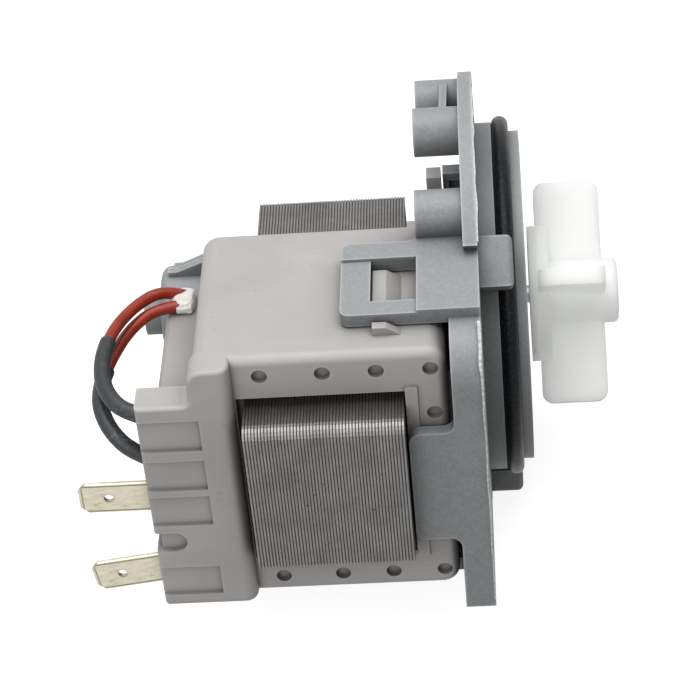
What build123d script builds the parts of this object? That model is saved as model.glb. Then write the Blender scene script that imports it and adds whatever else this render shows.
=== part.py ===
from build123d import *
import math
import os

# Washer drain pump, in millimetres
# The rotor turns on the X axis and the impeller is toward +X
# The origin is on that axis at the face of the flange that meets the pump housing
# The coils stack along Z and the yoke of the core faces -Y

# Laminated core
core_gap = 12.9            # from the flange face to the nearest lamination
stack_length = 26.3
core_height = 30.4
core_depth = 64.4
core_behind_axis = 10.65
leg_height = 7.2
yoke_depth = 10.0
core_corner = 2.2

# Rotor chamber
chamber_radius = 12.9
chamber_wall = 1.3
chamber_end = 47.0
chamber_end_wall = 1.6
pole_clearance = 0.2
nose_radius = 3.9
nose_end = 60.6
bearing_boss_radius = 8.4
bearing_boss_end = 57.2
bearing_boss_round = 1.6
gusset_count = 6
gusset_thickness = 1.6
gusset_reach = 9.4
gusset_start = 30.0

# Coil cover
cover_width = 40.4
cover_left_extra = 0.65
cover_height = 50.8
cover_back = 12.15
core_proud = 6.4           # the yoke in front of the cover
cover_round = 1.6
cover_corner = 3.0
cover_wall = 2.0
window_side_gap = 1.0
window_end_gap = 2.2
rim_width = 2.0
rim_height = 0.5
rim_gap = 0.2
dimple_radius = 1.3
dimple_depth = 1.1
dimple_edge = 3.6
dimple_column_shares = [0.257, 0.508, 0.722, 0.938]
dimple_side_share = 0.944

# Coils
bobbin_fit = 0.15
bobbin_wall = 1.0
bobbin_flange = 1.2
winding_side = 3.0
winding_top = 5.0
winding_round = 2.0
coil_clearance = 0.3

# Terminal block on the cover
block_side = 56.4
block_proud = 2.85
block_depth = 5.6
block_step_width = 9.0
block_inner_side = 40.4
block_step_height = 18.5
block_round = 1.4
block_edge = 2.1
pocket_height = 6.3
pocket_length = 10.2
pocket_depth = 0.7
pocket_centers = [12.4, 4.0, -3.7, -19.4]
notch_height = 4.1
notch_center = -10.5
notch_length = 5.4
notch_depth = 1.0

# Lead box beside the coils
lead_box_side = 54.2
lead_box_half_height = 13.0
lead_box_round = 1.2
cutout_length = 18.0
cutout_height = 10.0
cutout_thickness = 4.2
cutout_clearance = 0.2

# Spade terminals
tab_width = 6.3
tab_thickness = 0.8
tab_reach = 12.1
tab_root = 6.0
tab_chamfer = 1.3
tab_edge = 0.2
tab_hole_radius = 0.8
tab_hole_from_tip = 5.0
tab_setback = 3.2
tab_centers = [-2.5, -18.6]
tab_tilts = [0, 8]
tab_fit = 0.05

# Snap ramps on the cover
ramp_catch_gap = 0.3
ramp_height = 1.5
ramp_flat = 2.2
ramp_length = 4.6
ramp_guide_width = 1.6
ramp_guide_gap = 0.6
ramp_back_gap = 1.2

# Rear tongue of the cover
tongue_side_gap = 0.3
tongue_thickness = 1.8
tongue_reach = 3.0
tongue_chamber_gap = 0.6
catch_arm_width = 3.0
catch_post_width = 2.6
catch_flange_gap = 6.3
catch_reach = 13.0
catch_post_depth = 3.4
catch_top = 19.6

# Leads and their sleeves
lead_radius = 1.05
sleeve_radius = 1.4
sleeve_fit = 0.05
dab_gap = 1.0
dab_length = 4.6
dab_depth = 6.2
dab_height = 2.6
dab_round = 0.9

# Flange plate
flange_thickness = 2.4
flange_edge = 0.2
sector_width = 3.4          # the plate is wider by this much behind the posts
sector_start = 44.0
sector_end = 131.0
sector_round = 2.0
post_radius = 4.2
post_length = 7.8
post_edge = 1.0
post_bore_radius = 1.5
post_bore_depths = [8.0, 7.4, 6.8]
post_angles = [53.0, 88.3, 119.3]
post_web_thickness = 1.3
post_web_gap = 2.0
post_web_drop = 0.3

# Seal spigot on the flange
spigot_radius = 31.0
groove_depth = 2.0
spigot_face_step = 1.7
groove_start = 3.0
spigot_height = 7.8
seal_section = 1.5
spigot_wall = 2.6
spigot_floor = 2.6
spigot_rib_count = 9
spigot_rib_thickness = 1.5

# Bayonet lugs
lug_angles = [134.0, 254.0, 14.0]
lug_gap = 1.6
lug_depth = 4.0
lug_width = 8.6
lug_height = 5.7
lug_round = 1.0

# Front frame of the flange
frame_depth = 5.1
frame_proud = 2.65
frame_wall = 2.1
frame_top = 26.6
frame_bottom = 28.5
frame_back = 17.0
frame_round = 7.5
cheek_left = 12.6
cheek_top = 10.3
cheek_bottom = 12.6
cheek_round = 1.9

# Snap arms of the flange
arm_left = 22.6
arm_front = 40.6
arm_back = 21.5
arm_thickness = 2.75
arm_top = 28.5
arm_corner = 1.6
arm_window_left = 17.7
arm_window_right = 10.2
arm_window_front = 37.0
arm_window_back = 26.0
arm_rail = 0.5
arm_root_left = 10.1
arm_root_back = 14.5

# Rear bracket of the flange
bracket_side = 6.0
bracket_front = 7.0
bracket_back = 14.0
bracket_low = 13.4
bracket_bar_front = 11.2
bracket_top = 19.3
bracket_bar = 1.5
bracket_post = 1.0

# Bearings and cap
shaft_radius = 1.6
running_fit = 0.04
bush_radius = 3.4
bush_length = 6.0
cushion_wall = 1.2
press_gap = 0.02
cap_radius = 14.6
cap_thickness = 3.0
cap_fit = 0.1
cap_plug_depth = 5.0
cap_seal_section = 0.8

# Rotor
magnet_radius = 10.8
magnet_length = 30.0
carrier_radius = 5.0
washer_radius = 3.6
washer_thickness = 0.5
washer_gap = 0.1
shaft_front = 22.0
shaft_hole_gap = 0.3
shaft_end_round = 0.3

# Impeller
impeller_gap = 0.65
collar_radius = 12.1
collar_height = 3.45
drive_cover_height = 1.3
drive_floor = 0.7
collar_wall = 1.2
collar_floor = 0.9
vane_radius = 19.8
vane_start = 9.9
vane_end = 21.5
vane_thickness = 3.0
vane_corner = 2.0
vane_count = 4
vane_angle = 45.0
hub_radius = 5.8
hub_end = 24.1
hub_round = 1.0

# Lost-motion drive between rotor and impeller
dog_hub_radius = 3.4
dog_reach = 10.2
dog_width = 4.0
dog_side_gap = 0.2
stop_inner_radius = 4.4
stop_span = 60.0

# One overrun for every cut
overrun = 1.0

# Radii of the flange, from its spigot outward
groove_radius = spigot_radius - groove_depth
spigot_face_radius = spigot_radius - spigot_face_step
lug_inner_radius = spigot_radius + lug_gap
lug_outer_radius = lug_inner_radius + lug_depth
flange_radius = lug_outer_radius + flange_edge
sector_radius = flange_radius + sector_width
post_circle = sector_radius - post_edge - post_radius

# Places worked out from the sizes above
core_right = -core_gap
core_left = -core_gap - stack_length
core_middle = (core_left + core_right) / 2
core_back = core_behind_axis
core_front = core_back - core_depth
core_top = core_height / 2
leg_inner = core_top - leg_height
cover_front = -core_front - core_proud
block_front = cover_front + block_proud
block_shoulder = block_side - block_step_width
tab_plane = block_front - tab_setback
frame_front = cover_front + frame_proud
dimple_zero = core_middle - cover_width / 2
cover_left = dimple_zero - cover_left_extra
cover_right = core_middle + cover_width / 2
cover_top = cover_height / 2
bobbin_side = bobbin_fit + bobbin_wall
coil_side = bobbin_side + winding_side + coil_clearance
coil_outer = core_top + bobbin_side + winding_top + coil_clearance
coil_inner = leg_inner - bobbin_side - winding_top - coil_clearance
window_floor = core_front + yoke_depth + pole_clearance
coil_front = window_floor + cover_wall
coil_back = -cover_back - cover_wall
chamber_bore = chamber_radius - chamber_wall
rotor_left = core_middle - magnet_length / 2
rotor_right = core_middle + magnet_length / 2
rear_bush_right = -chamber_end + chamber_end_wall
rear_bush_left = rear_bush_right - bush_length
cap_right = spigot_height
cap_left = cap_right - cap_thickness
plug_left = cap_left - cap_plug_depth
carrier_left = rear_bush_right + washer_gap + washer_thickness
carrier_right = plug_left - washer_gap - washer_thickness
collar_left = spigot_height + impeller_gap
collar_right = collar_left + collar_height
drive_split = collar_left + drive_cover_height
dog_left = collar_left + drive_floor + dog_side_gap
dog_right = collar_right - collar_floor - dog_side_gap
sleeve_bore = lead_radius + sleeve_fit


def block(x_range, y_range, z_range):
    """A box between two places on each axis."""
    ranges = (x_range, y_range, z_range)
    sizes = [high - low for low, high in ranges]
    middle = [(low + high) / 2 for low, high in ranges]
    return Pos(*middle) * Box(*sizes)


def rod(radius, x_low, x_high, y=0, z=0):
    """A round bar along X."""
    return Pos((x_low + x_high) / 2, y, z) * Rot(0, 90, 0) * Cylinder(radius, x_high - x_low)


def tube(outer, inner, x_low, x_high, y=0, z=0):
    """A round tube along X."""
    return rod(outer, x_low, x_high, y, z) - rod(inner, x_low - overrun, x_high + overrun, y, z)


def polar(radius, degrees):
    """Y and Z of a point on a circle round the rotor axis."""
    angle = math.radians(degrees)
    return radius * math.cos(angle), radius * math.sin(angle)


# Laminated U-shaped core
def stator_core():
    outline = Pos((core_front + core_back) / 2, 0) * Rectangle(core_depth, core_height)
    outline = fillet(outline.vertices().group_by(Axis.X)[0], core_corner)
    window_length = core_depth - yoke_depth + overrun
    window_middle = core_front + yoke_depth + window_length / 2
    outline -= Pos(window_middle, 0) * Rectangle(window_length, 2 * leg_inner)
    outline -= Circle(chamber_radius + pole_clearance)
    return extrude(Plane.YZ.offset(core_left) * outline, amount=stack_length)


def both_ways(make):
    """The upper piece and its mirror image below the axis."""
    upper = make()
    return upper + mirror(upper, about=Plane.XY)


# Coil formers and windings
def leg_sleeve(wall, y_low, y_high):
    """A box round one leg of the core, grown by a wall on each side."""
    x_range = (core_left - wall, core_right + wall)
    return block(x_range, (y_low, y_high), (leg_inner - wall, core_top + wall))


def bobbin():
    front = coil_front + coil_clearance
    back = coil_back - coil_clearance
    x_range = (core_left - bobbin_side - winding_side, core_right + bobbin_side + winding_side)
    z_range = (coil_inner + coil_clearance, coil_outer - coil_clearance)
    body = leg_sleeve(bobbin_side, front, back)
    body += block(x_range, (front, front + bobbin_flange), z_range)
    body += block(x_range, (back - bobbin_flange, back), z_range)
    return body - leg_sleeve(bobbin_fit, front - overrun, back + overrun)


def winding():
    front = coil_front + coil_clearance + bobbin_flange + press_gap
    back = coil_back - coil_clearance - bobbin_flange - press_gap
    x_range = (core_left - bobbin_side - winding_side, core_right + bobbin_side + winding_side)
    z_range = (coil_inner + coil_clearance, coil_outer - coil_clearance)
    body = block(x_range, (front, back), z_range)
    body = fillet(body.edges().filter_by(Axis.Y), winding_round)
    return body - leg_sleeve(bobbin_side + press_gap, front - overrun, back + overrun)


# Spade terminals
def tab_blank(grow):
    """A tab lying along X with its root inside the terminal block."""
    length = tab_reach + tab_root + grow
    outline = Pos(-tab_reach + length / 2, 0) * Rectangle(length, tab_width + 2 * grow)
    if grow == 0:
        outline = chamfer(outline.vertices().group_by(Axis.X)[0], tab_chamfer)
        outline -= Pos(-tab_reach + tab_hole_from_tip, 0) * Circle(tab_hole_radius)
    thickness = tab_thickness + 2 * grow
    blank = extrude(Plane.XZ.offset(-thickness / 2) * outline, amount=thickness)
    if grow > 0:
        return blank
    faces = blank.faces().filter_by(Axis.Y)
    return chamfer([edge for face in faces for edge in face.outer_wire().edges()], tab_edge)


def placed_tab(number, grow=0):
    place = Pos(-block_side, -tab_plane, tab_centers[number])
    return place * Rot(0, -tab_tilts[number], 0) * tab_blank(grow)


# Leads from the dab of sealant round to the terminal block
upper_route = [
    (-51.6, -14.1, 14.1),
    (-56.3, -15.5, 15.2),
    (-59.6, -19.6, 15.7),
    (-62.1, -25.2, 16.2),
    (-63.3, -31.6, 16.1),
    (-63.3, -36.9, 15.6),
    (-61.9, -42.0, 15.3),
    (-58.6, -46.0, 14.6),
    (-53.6, -47.2, 14.0),
]
lower_route = [
    (-51.6, -16.9, 14.3),
    (-56.2, -18.3, 13.9),
    (-60.0, -21.2, 13.0),
    (-62.6, -27.6, 12.2),
    (-63.9, -34.6, 12.1),
    (-63.7, -40.9, 12.2),
    (-61.6, -45.6, 10.3),
    (-57.9, -47.6, 7.2),
    (-53.6, -47.4, 5.0),
]
sleeve_start_index = 3
run_share = 0.45


def bend_radii(points):
    """The largest radius that each corner's two runs allow."""
    radii = []
    for before, corner, after in zip(points, points[1:], points[2:]):
        arriving = Vector(*corner) - Vector(*before)
        leaving = Vector(*after) - Vector(*corner)
        half_turn = math.radians(arriving.get_angle(leaving)) / 2
        radii.append(run_share * min(arriving.length, leaving.length) / math.tan(half_turn))
    return radii


def swept(points, radii, section, label):
    """A section swept along straight runs joined by tangent arcs."""
    path = FilletPolyline(*points, radius=radii)
    start = Plane(origin=path @ 0, z_dir=path % 0)
    solid = sweep(start * section, path=path)
    expected = section.area * path.length
    print(label, "radii", [round(r, 1) for r in radii], "length", round(path.length, 1),
          "volume share", round(solid.volume / expected, 4))
    return solid


def lead(points, label):
    return swept(points, bend_radii(points), Circle(lead_radius), label)


def sleeve(points, label):
    half_way = [(a + b) / 2 for a, b in zip(points[sleeve_start_index], points[sleeve_start_index + 1])]
    covered = [tuple(half_way)] + points[sleeve_start_index + 1:]
    radii = bend_radii(points)[sleeve_start_index:]
    section = Circle(sleeve_radius) - Circle(sleeve_bore)
    return swept(covered, radii, section, label)


def socket(outside, inside, radius):
    """A round hole from a point outside a wall to a point within it."""
    along = Vector(*inside) - Vector(*outside)
    plane = Plane(origin=outside, z_dir=along)
    return extrude(plane * Circle(radius), amount=along.length)


# Sealant where the leads leave the cover
def lead_seal():
    x_high = cover_left - dab_gap
    y_high = -cover_back - coil_clearance
    z_low = lead_box_half_height
    y_range = (y_high - dab_depth, y_high)
    body = block((x_high - dab_length, x_high), y_range, (z_low, z_low + dab_height))
    body = fillet(body.edges().group_by(Axis.Z)[-1], dab_round)
    for route in (upper_route, lower_route):
        body -= socket(route[1], route[0], lead_radius + sleeve_fit)
    return body


def thermal_cutout_box(grow):
    x_middle = (cover_left - lead_box_side) / 2
    y_middle = (-block_front + block_depth - cover_back) / 2
    size = (cutout_thickness + 2 * grow, cutout_length + 2 * grow, cutout_height + 2 * grow)
    return Pos(x_middle, y_middle, 0) * Box(*size)


def thermal_cutout():
    body = thermal_cutout_box(0)
    return fillet(body.edges().filter_by(Axis.Y), cutout_thickness / 4)


# Overmoulded cover round both coils
def terminal_block():
    """Stepped block that carries the terminals, proud of the cover's front."""
    outline = Polygon(
        (-block_side, -cover_top),
        (-block_inner_side, -cover_top),
        (-block_inner_side, cover_top),
        (-block_shoulder, cover_top),
        (-block_shoulder, block_step_height),
        (-block_side, block_step_height),
        align=None,
    )
    shoulder = outline.vertices().sort_by_distance((-block_shoulder, cover_top, 0))[0]
    outline = fillet(shoulder, 2 * block_round)
    inside = outline.vertices().sort_by_distance((-block_shoulder, block_step_height, 0))[0]
    outline = fillet(inside, block_round)
    body = extrude(Plane.XZ.offset(block_front - block_depth) * outline, amount=block_depth)
    body = rounded_block(body)
    for center in pocket_centers:
        z_range = (center - pocket_height / 2, center + pocket_height / 2)
        x_range = (-block_side - overrun, -block_side + pocket_length)
        body -= block(x_range, (-block_front - overrun, -block_front + pocket_depth), z_range)
    body -= thumb_notch()
    return body


def rounded_block(body):
    """Rounds the block most at its right edge, less below and least elsewhere."""
    front = body.edges().group_by(Axis.Y)[0]
    body = fillet(front.filter_by(Axis.Z).group_by(Axis.X)[-1], block_edge)
    right = body.edges().filter_by(Axis.Y).group_by(Axis.X)[-1]
    body = fillet(right.group_by(Axis.Z)[0], block_round)
    front = body.edges().group_by(Axis.Y)[0]
    smooth = front.filter_by(Axis.Z).group_by(Axis.X)[-1] + front.filter_by(Axis.X).group_by(Axis.Z)[0]
    return fillet([edge for edge in front if edge not in smooth], block_round / 2)


def thumb_notch():
    """Round-ended recess between the third and the fourth pocket."""
    radius = notch_height / 2
    round_end = -block_side + notch_length - radius
    outline = Pos(round_end, notch_center) * Circle(radius)
    length = round_end + block_side + overrun
    outline += Pos(round_end - length / 2, notch_center) * Rectangle(length, notch_height)
    shallow = extrude(Plane.XZ.offset(block_front - notch_depth) * outline, amount=notch_depth + overrun)
    z_range = (notch_center - radius, notch_center + radius)
    y_range = (-block_front - overrun, -block_front + block_depth + overrun)
    return shallow + block((-block_side - overrun, -block_side + notch_depth), y_range, z_range)


def snap_ramp(y_range):
    """A wedge on top of the cover, steep toward -X."""
    catch = -arm_window_left + ramp_catch_gap
    low = cover_top - overrun
    outline = Polygon(
        (catch, low),
        (catch + ramp_length, low),
        (catch + ramp_length, cover_top),
        (catch + ramp_flat, cover_top + ramp_height),
        (catch, cover_top + ramp_height),
        align=None,
    )
    return extrude(Plane.XZ.offset(-y_range[1]) * outline, amount=y_range[1] - y_range[0])


def snap_ramps():
    inner = snap_ramp((-arm_window_front + ramp_guide_gap, -arm_window_back - ramp_back_gap))
    guide = snap_ramp((-arm_front - ramp_guide_gap - ramp_guide_width, -arm_front - ramp_guide_gap))
    return inner + guide


def rear_tongue():
    """Wall beside the core legs, with the post that the flange's bracket holds."""
    left = core_right + tongue_side_gap
    arm_left_side = -catch_flange_gap - catch_arm_width - overrun
    post_front = catch_reach - catch_post_depth
    body = block((left, left + tongue_thickness), (coil_back, tongue_reach), (-core_top, core_top))
    body += block((left, -catch_flange_gap), (-tongue_reach, tongue_reach), (0, core_top))
    body += block((arm_left_side, -catch_flange_gap), (0, post_front + overrun), (0, core_top))
    post_left = -catch_flange_gap - catch_post_width
    body += block((post_left, -catch_flange_gap), (post_front, catch_reach), (0, catch_top))
    return body


def coil_cavity():
    x_range = (core_left - coil_side, core_right + coil_side)
    return block(x_range, (coil_front, coil_back), (coil_inner, coil_outer))


def dimples():
    """Blind round marks in two rows on the front face."""
    row = cover_top - dimple_edge
    places = [(share, z) for share in dimple_column_shares for z in (-row, row)]
    places += [(dimple_side_share, z) for z in (-cover_top / 2, cover_top / 2)]
    marks = Part()
    for share, z in places:
        mark = Cylinder(dimple_radius, dimple_depth + overrun)
        y = -cover_front + dimple_depth - (dimple_depth + overrun) / 2
        marks += Pos(dimple_zero + share * cover_width, y, z) * Rot(90, 0, 0) * mark
    return marks


def coil_cover():
    body = block((cover_left, cover_right), (-cover_front, -cover_back), (-cover_top, cover_top))
    body = fillet(body.edges().filter_by(Axis.Y), cover_corner)
    body = fillet(body.edges().group_by(Axis.Y)[0] + body.edges().group_by(Axis.Y)[-1], cover_round)
    body += terminal_block()
    box_front = -block_front + block_depth / 2
    z_range = (-lead_box_half_height, lead_box_half_height)
    box = block((-lead_box_side, cover_left + cover_round), (box_front, -cover_back), z_range)
    body += fillet(box.edges().filter_by(Axis.Y).group_by(Axis.X)[0], lead_box_round)
    rim_left = core_right + rim_gap
    rim_top = core_top + window_end_gap + rim_width / 2
    rim_y = (-cover_front - rim_height, window_floor)
    body += block((rim_left, rim_left + rim_width), rim_y, (-rim_top, rim_top))
    body += both_ways(snap_ramps)
    body += rear_tongue()
    window_top = core_top + window_end_gap
    window_x = (core_left - window_side_gap, core_right + rim_gap)
    body -= block(window_x, (-block_front - overrun, window_floor), (-window_top, window_top))
    body -= both_ways(coil_cavity)
    body -= both_ways(lambda: leg_sleeve(bobbin_fit, window_floor - overrun, -cover_back + overrun))
    body -= dimples()
    for number in range(len(tab_centers)):
        body -= placed_tab(number, tab_fit)
    for route in (upper_route, lower_route):
        body -= socket(route[-2], route[-1], sleeve_radius + sleeve_fit)
    body -= thermal_cutout_box(cutout_clearance)
    return body - rod(chamber_radius + tongue_chamber_gap, -chamber_end - overrun, 0)


# Flange moulding with its rotor chamber
def spigot():
    """Stepped disc that enters the pump housing, with the seal's groove."""
    groove_end = groove_start + 2 * (seal_section + press_gap)
    body = rod(spigot_radius, -flange_thickness, groove_start)
    body += rod(groove_radius, groove_start, groove_end)
    return body + rod(spigot_face_radius, groove_end, spigot_height)


def spigot_pocket():
    """Ring-shaped hollow behind the spigot, with radial ribs left standing."""
    outer = groove_radius - spigot_wall
    inner = cap_radius + cap_fit + spigot_floor
    end = spigot_height - spigot_floor
    pocket = tube(outer, inner, -flange_thickness - overrun, end)
    y_range = (inner - overrun, outer + overrun)
    z_range = (-spigot_rib_thickness / 2, spigot_rib_thickness / 2)
    rib = block((-flange_thickness, end + overrun), y_range, z_range)
    for number in range(spigot_rib_count):
        pocket -= Rot(number * 360 / spigot_rib_count, 0, 0) * rib
    return pocket


def rotor_chamber():
    body = rod(chamber_radius, -chamber_end, 0)
    boss = rod(bearing_boss_radius, -bearing_boss_end, -chamber_end + chamber_end_wall)
    body += fillet(boss.edges().group_by(Axis.X)[0], bearing_boss_round)
    body += rod(nose_radius, -nose_end, -bearing_boss_end + bearing_boss_round)
    for number in range(gusset_count):
        body += Rot(gusset_start + number * 360 / gusset_count, 0, 0) * chamber_gusset()
    return body


def chamber_gusset():
    """A rib from the chamber's end down to the bearing boss."""
    outline = Polygon(
        (-chamber_end + chamber_end_wall, 0),
        (-chamber_end + chamber_end_wall, chamber_radius - chamber_wall / 2),
        (-chamber_end, chamber_radius - chamber_wall / 2),
        (-bearing_boss_end + 2 * bearing_boss_round, gusset_reach),
        (-bearing_boss_end + bearing_boss_round, gusset_reach),
        (-bearing_boss_end + bearing_boss_round, 0),
        align=None,
    )
    return extrude(Plane.XY.offset(-gusset_thickness / 2) * outline, amount=gusset_thickness)


def chamber_bores():
    """Everything that is hollow round the rotor axis."""
    end_wall = -chamber_end + chamber_end_wall
    bores = rod(chamber_bore, end_wall, cap_left + press_gap)
    bores += rod(cap_radius + cap_fit, cap_left, cap_right + overrun)
    bores += rod(bush_radius + cushion_wall + press_gap, rear_bush_left, end_wall + press_gap)
    nose_floor = -nose_end + chamber_end_wall
    return bores + rod(shaft_radius + shaft_hole_gap, nose_floor, rear_bush_left + press_gap)


def plate_sector():
    """Wider part of the plate, behind the screw posts."""
    far = 2 * sector_radius
    angles = (sector_start, (sector_start + sector_end) / 2, sector_end)
    outline = Polygon((0, 0), *[polar(far, angle) for angle in angles], align=None)
    outline &= Circle(sector_radius)
    rear_corner = outline.vertices().sort_by_distance((*polar(sector_radius, sector_start), 0))[0]
    outline = fillet(rear_corner, sector_round)
    return extrude(Plane.YZ.offset(-flange_thickness) * outline, amount=flange_thickness)


def front_frame():
    """Box-shaped front of the flange, with the cheek beside the core."""
    width = frame_front - frame_back
    height = frame_top + frame_bottom
    middle = (frame_top - frame_bottom) / 2
    outline = Pos(-(frame_front + frame_back) / 2, middle) * Rectangle(width, height)
    corner = outline.vertices().sort_by_distance((-frame_front, frame_top, 0))[0]
    outline = fillet(corner, frame_round)
    inner_width = width - frame_wall + overrun
    inner = Pos(-frame_front + frame_wall + inner_width / 2, middle)
    inner *= Rectangle(inner_width, height - 2 * frame_wall)
    corner = inner.vertices().sort_by_distance((-frame_front, frame_top, 0))[0]
    inner = fillet(corner, frame_round - frame_wall)
    body = extrude(Plane.YZ.offset(-frame_depth) * outline, amount=frame_depth)
    depth = frame_depth - flange_thickness + overrun
    body -= extrude(Plane.YZ.offset(-frame_depth - overrun) * inner, amount=depth)
    return body + cheek()


def cheek():
    """Flat wall in front of the cover, beside the laminations."""
    width = cheek_left - frame_depth / 2
    height = cheek_top + cheek_bottom
    outline = Pos(-cheek_left + width / 2, (cheek_top - cheek_bottom) / 2) * Rectangle(width, height)
    outline = fillet(outline.vertices().group_by(Axis.X)[0], cheek_round)
    column_width = frame_depth
    column_height = height + 2 * (cheek_round + overrun)
    column = Pos(-column_width / 2, (cheek_top - cheek_bottom) / 2) * Rectangle(column_width, column_height)
    outline += column
    for z in (cheek_top, -cheek_bottom):
        corner = outline.vertices().sort_by_distance((-frame_depth, z, 0))[0]
        outline = fillet(corner, cheek_round)
    return extrude(Plane.XZ.offset(frame_front - frame_wall) * outline, amount=frame_wall)


def snap_arm():
    """Upper arm, whose window drops over the ramp on the cover."""
    outline = Pos(-arm_left / 2, -(arm_front + arm_back) / 2)
    outline *= Rectangle(arm_left, arm_front - arm_back)
    outline = fillet(outline.vertices().group_by(Axis.X)[0], arm_corner)
    root = Pos(-arm_root_left / 2, -(arm_front + arm_root_back) / 2)
    outline += root * Rectangle(arm_root_left, arm_front - arm_root_back)
    inside = outline.vertices().sort_by_distance((-arm_root_left, -arm_back, 0))[0]
    outline = fillet(inside, arm_corner)
    window_width = arm_window_left - arm_window_right
    window_depth = arm_window_front - arm_window_back
    window = Pos(-arm_window_right - window_width / 2, -arm_window_back - window_depth / 2)
    outline -= window * Rectangle(window_width, window_depth)
    body = extrude(Plane.XY.offset(arm_top - arm_thickness) * outline, amount=arm_thickness)
    x_range = (-arm_left - overrun, -arm_window_right)
    y_range = (-arm_front - overrun, -arm_window_back)
    return body - block(x_range, y_range, (arm_top - arm_rail, arm_top + overrun))


def rear_bracket():
    """Loop that stands on the plate behind the post of the cover."""
    body = block((-bracket_side, 0), (bracket_front, bracket_back), (bracket_low, bracket_top))
    x_range = (-bracket_side + bracket_post, -flange_thickness)
    y_range = (bracket_front - overrun, bracket_back - bracket_post)
    body -= block(x_range, y_range, (bracket_low + bracket_bar, bracket_top - bracket_bar))
    x_range = (-bracket_side - overrun, -flange_thickness)
    y_range = (bracket_front - overrun, bracket_bar_front)
    return body - block(x_range, y_range, (bracket_low + bracket_bar, bracket_top + overrun))


def screw_posts():
    """Posts on the back of the plate, two of them joined by a web."""
    body = Part()
    for angle in post_angles:
        y, z = polar(post_circle, angle)
        body += rod(post_radius, -flange_thickness - post_length, 0, y, z)
    chord = 2 * post_circle * math.sin(math.radians(post_angles[1] - post_angles[0]) / 2)
    middle = (post_angles[0] + post_angles[1]) / 2
    distance = post_circle * math.cos(math.radians(post_angles[1] - post_angles[0]) / 2)
    web_right = -flange_thickness - post_web_gap
    x_range = (web_right - post_web_thickness, web_right)
    y_range = (distance - post_radius / 2, distance + post_radius - post_web_drop)
    web = block(x_range, y_range, (-chord / 2, chord / 2))
    return body + Rot(middle, 0, 0) * web


def post_bores():
    bores = Part()
    end = -flange_thickness - post_length
    for angle, depth in zip(post_angles, post_bore_depths):
        y, z = polar(post_circle, angle)
        bores += rod(post_bore_radius, end - overrun, end + depth, y, z)
    return bores


def bayonet_lug():
    half = lug_width / 2
    body = block((-flange_thickness / 2, lug_height), (lug_inner_radius, lug_outer_radius), (-half, half))
    return fillet(body.edges().group_by(Axis.X)[-1], lug_round)


def mounting_flange():
    body = rod(flange_radius, -flange_thickness, 0) + plate_sector()
    body += spigot()
    body += front_frame()
    body -= spigot_pocket()
    body += both_ways(snap_arm)
    body += rear_bracket()
    body += screw_posts()
    body += rotor_chamber()
    for angle in lug_angles:
        body += Rot(angle, 0, 0) * bayonet_lug()
    return body - chamber_bores() - post_bores()


# Seals, bearings and the cap of the rotor chamber
def ring_seal(circle, section, x):
    return Pos(x, 0, 0) * Rot(0, 90, 0) * Torus(circle, section)


def seal_ring():
    middle = groove_start + seal_section + press_gap
    return ring_seal(groove_radius + seal_section + press_gap, seal_section, middle)


def bearing_cap():
    seal_middle = cap_left - cap_plug_depth / 2
    body = rod(cap_radius, cap_left, cap_right)
    body += rod(chamber_bore - cap_fit, plug_left, cap_left)
    groove = 2 * cap_seal_section + cap_fit
    width = cap_seal_section + press_gap
    body -= tube(chamber_bore, chamber_bore - groove, seal_middle - width, seal_middle + width)
    body -= rod(bush_radius + press_gap, plug_left - overrun, plug_left + bush_length + press_gap)
    return body - rod(shaft_radius + shaft_hole_gap, plug_left - overrun, cap_right + overrun)


def cap_seal():
    circle = chamber_bore - cap_fit - cap_seal_section + press_gap
    return ring_seal(circle, cap_seal_section, cap_left - cap_plug_depth / 2)


def bush(x_left):
    return tube(bush_radius, shaft_radius + running_fit, x_left, x_left + bush_length)


def bush_cushion():
    return tube(bush_radius + cushion_wall, bush_radius + press_gap, rear_bush_left, rear_bush_right)


# Rotor
def rotor_magnet():
    return tube(magnet_radius, carrier_radius + press_gap, rotor_left, rotor_right)


def magnet_carrier():
    return tube(carrier_radius, shaft_radius + press_gap, carrier_left, carrier_right)


def rotor_shaft():
    x_low = -nose_end + chamber_end_wall + shaft_hole_gap
    body = rod(shaft_radius, x_low, shaft_front)
    return chamfer(body.edges().filter_by(GeomType.CIRCLE), shaft_end_round)


def thrust_washer(x_low):
    return tube(washer_radius, shaft_radius + running_fit, x_low, x_low + washer_thickness)


# Lost-motion drive and impeller
def drive_dog():
    """Hub with one arm, pressed on the shaft inside the impeller's collar."""
    body = rod(dog_hub_radius, dog_left, dog_right)
    body += block((dog_left, dog_right), (-dog_reach, 0), (-dog_width / 2, dog_width / 2))
    return body - rod(shaft_radius + press_gap, dog_left - overrun, dog_right + overrun)


def vane():
    outline = Pos((vane_start + vane_end) / 2, vane_radius / 2)
    outline *= Rectangle(vane_end - vane_start, vane_radius)
    outline = fillet(outline.vertices().group_by(Axis.Y)[-1], vane_corner)
    return extrude(Plane.XY.offset(-vane_thickness / 2) * outline, amount=vane_thickness)


def stop_sector():
    """Stop inside the collar, opposite the dog at rest."""
    half = stop_span / 2
    far = collar_radius / math.cos(math.radians(half))
    outline = Polygon((0, 0), polar(far, -half), polar(far, half), align=None)
    body = extrude(Plane.YZ.offset(drive_split) * outline, amount=collar_right - drive_split)
    body &= rod(collar_radius, drive_split, collar_right)
    return body - rod(stop_inner_radius, drive_split - overrun, collar_right + overrun)


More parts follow.
